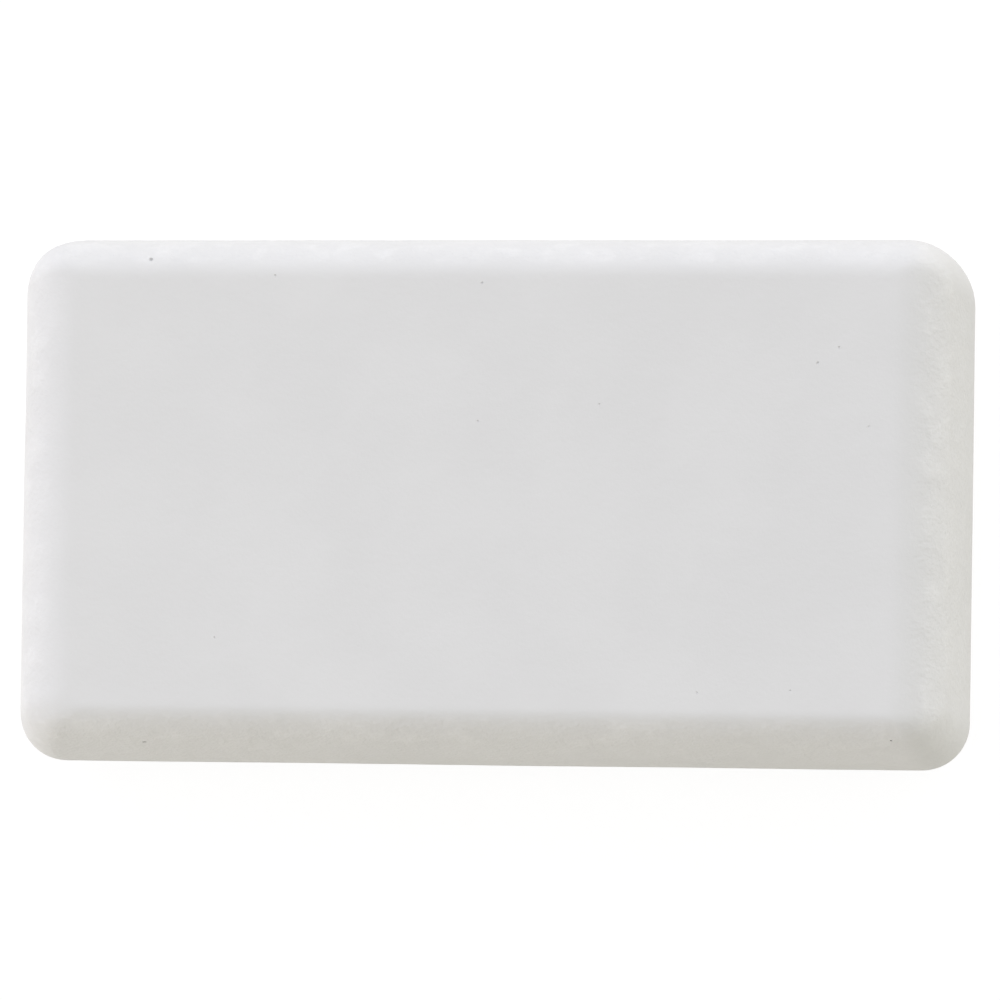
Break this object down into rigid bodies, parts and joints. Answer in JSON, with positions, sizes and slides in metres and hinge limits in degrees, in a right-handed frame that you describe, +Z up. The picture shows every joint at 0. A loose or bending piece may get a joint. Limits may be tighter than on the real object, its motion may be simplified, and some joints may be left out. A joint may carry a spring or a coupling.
{
  "type": "gymnastics chalk block",
  "caption": "Solid white block of pressed magnesium carbonate with flat broad faces, softly rounded rims and rounded corners, rubbed on the hands for a dry grip.",
  "frame": {"origin": "middle of the broad face that the block lies on", "axes": "+X along the length, +Y along the width, +Z up from the face it lies on to the opposite broad face"},
  "size_m": [0.09, 0.05, 0.025],
  "materials": {
    "chalk": "matte"
  },
  "bodies": {
    "root": {"chalk_block": "chalk"}
  },
  "joints": []
}
